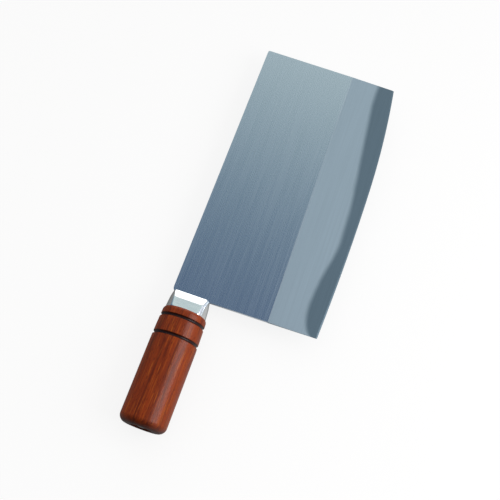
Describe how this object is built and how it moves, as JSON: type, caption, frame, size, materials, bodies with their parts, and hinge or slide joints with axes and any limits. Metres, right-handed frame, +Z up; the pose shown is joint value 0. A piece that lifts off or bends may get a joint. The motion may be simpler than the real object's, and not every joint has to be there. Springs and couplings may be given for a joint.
{
  "type": "chinese cleaver",
  "caption": "Broad rectangular kitchen cleaver with a laminated steel blade, a bright metal ferrule and a round turned wooden handle with grooves.",
  "frame": {"origin": "middle of the bottom face of the bounding box, with the cleaver lying on its side: z = 0 is the underside of the handle", "axes": "+X from the butt of the handle to the tip of the blade, -Y from the spine toward the cutting edge, +Z up from the side it lies on"},
  "size_m": [0.3182, 0.1158, 0.034],
  "materials": {
    "soft_steel": "fine satin grinding lines across the blade",
    "hard_steel": "fine satin, a little darker than the blade plate",
    "ferrule_metal": "polished, with softened facets",
    "handle_wood": "varnished reddish brown hardwood with a lengthwise grain",
    "rod_steel": "plain drawn rod with a hammered head",
    "washer_steel": "plain washer"
  },
  "bodies": {
    "root": {"blade_body": "soft_steel", "edge_steel": "hard_steel", "ferrule": "ferrule_metal", "handle": "handle_wood", "tang": "rod_steel", "butt_washer": "washer_steel"}
  },
  "joints": []
}
